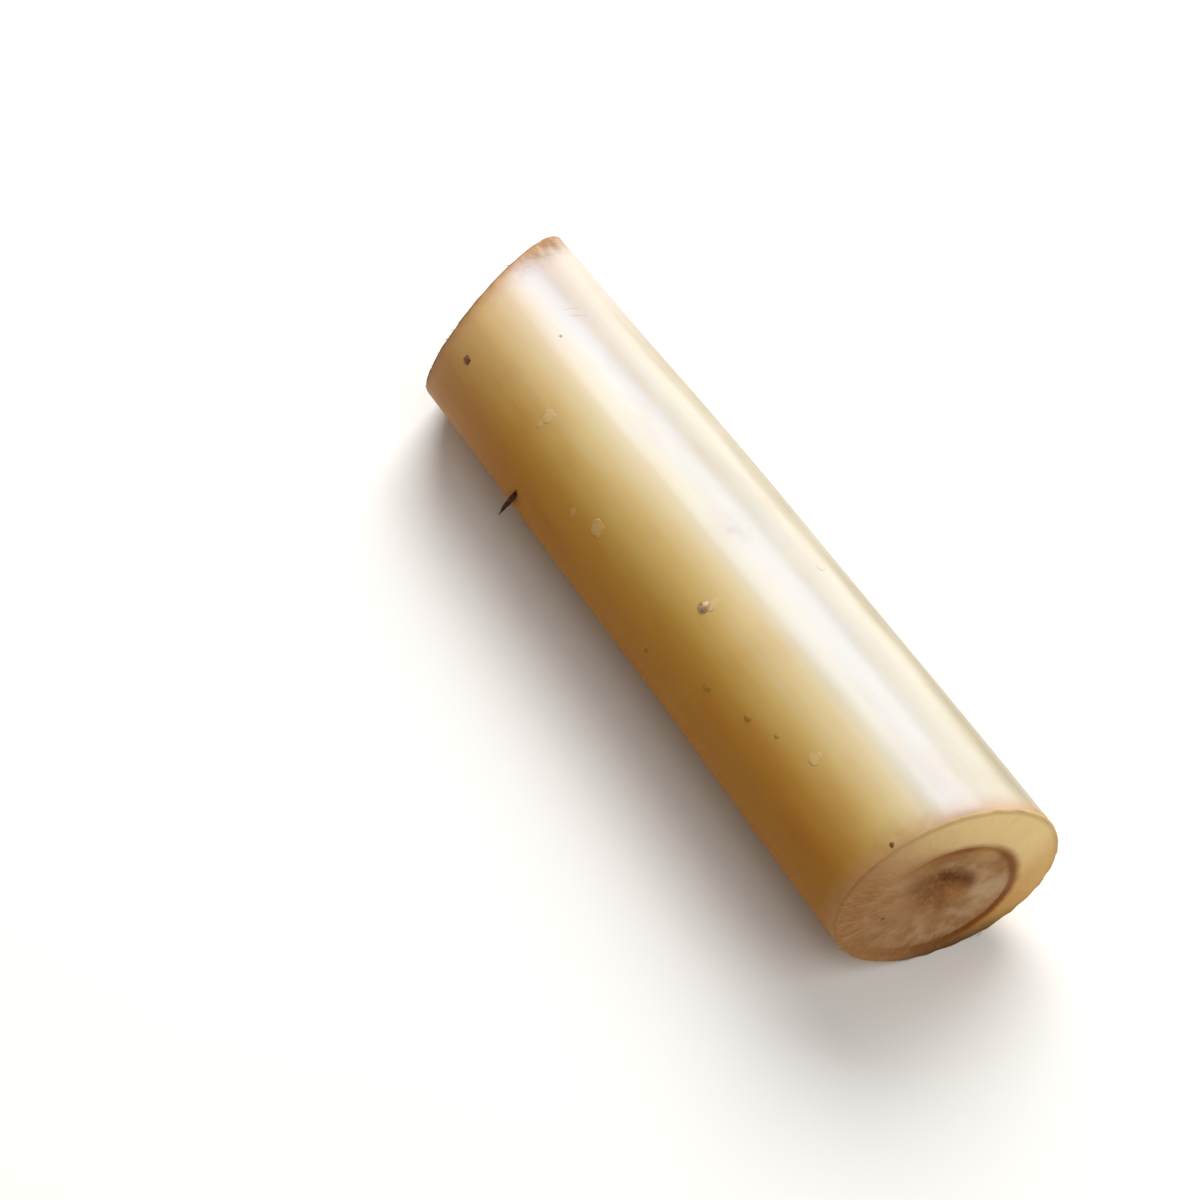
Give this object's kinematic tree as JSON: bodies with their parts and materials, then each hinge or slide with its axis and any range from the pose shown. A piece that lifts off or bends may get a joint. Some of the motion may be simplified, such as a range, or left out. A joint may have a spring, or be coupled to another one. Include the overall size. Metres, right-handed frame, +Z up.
{
  "type": "banana stem",
  "caption": "Short cut length of pale banana stem lying on its side, with slanted cut ends that show a brown growth ring and a soft middle.",
  "frame": {"origin": "middle of the stem's box, on the surface it lies on", "axes": "+X along the stem towards the end that shows its ring best, +Z up"},
  "size_m": [0.2324, 0.0602, 0.0594],
  "materials": {
    "stem_flesh": "moist waxy plant tissue, cream shading to pale yellow, satin"
  },
  "bodies": {
    "root": {"stem": "stem_flesh"}
  },
  "joints": []
}
